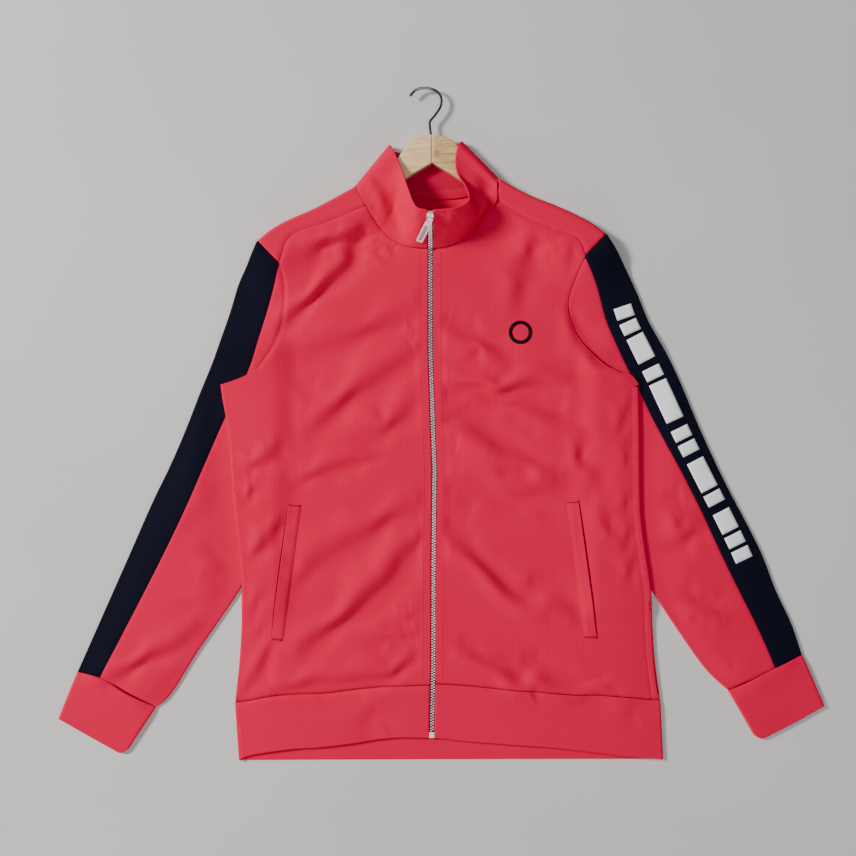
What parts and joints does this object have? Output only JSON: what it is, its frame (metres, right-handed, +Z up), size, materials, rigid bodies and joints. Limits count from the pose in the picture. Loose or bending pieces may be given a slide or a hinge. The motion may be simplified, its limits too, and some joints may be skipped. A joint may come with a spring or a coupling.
{
  "type": "track jacket on a clothes hanger",
  "caption": "Zip-front track jacket with a stand collar, ribbed hem and cuffs and a dark stripe down each sleeve, laid flat with a wooden hanger in its neck.",
  "frame": {"origin": "on the floor under the middle of the bounding box", "axes": "+X to the wearer's left, +Y from the hem to the collar, +Z up from the floor the jacket lies on"},
  "size_m": [0.9546, 0.8376, 0.0547],
  "materials": {
    "red_knit": "soft matte double knit",
    "dark_knit": "soft matte double knit",
    "red_rib": "ribbed knit",
    "zip_metal": "silvery, slightly satin",
    "beech": "clear satin lacquer",
    "beech_grained": "clear satin lacquer, marked grain",
    "hook_wire": "dark bright plating"
  },
  "bodies": {
    "jacket": {"front_right": "red_knit", "front_left": "red_knit", "back_body": "red_knit", "sleeve_front_right": "red_knit", "sleeve_front_left": "red_knit", "sleeve_back_right": "red_knit", "sleeve_back_left": "red_knit", "sleeve_stripe_right": "dark_knit", "sleeve_stripe_left": "dark_knit", "cuff_right": "red_rib", "cuff_left": "red_rib", "hem_band": "red_rib", "collar": "red_knit", "neck_tape": "red_knit", "pocket_welt_right": "red_knit", "pocket_welt_left": "red_knit", "zip_chain": "zip_metal", "zip_bottom_stop": "zip_metal", "zip_slider": "zip_metal", "hanger_arm_right": "beech", "hanger_arm_left": "beech_grained", "hanger_hook": "hook_wire"},
    "pull_tab": {"zip_pull": "zip_metal"}
  },
  "joints": [
    {"name": "pull_tab_swing", "type": "hinge", "parent": "jacket", "child": "pull_tab", "pos_m": [-0.01422, 0.24615, 0.05058], "axis": [-0.9397, 0.2186, 0.2631], "range_deg": [0, 150]}
  ]
}
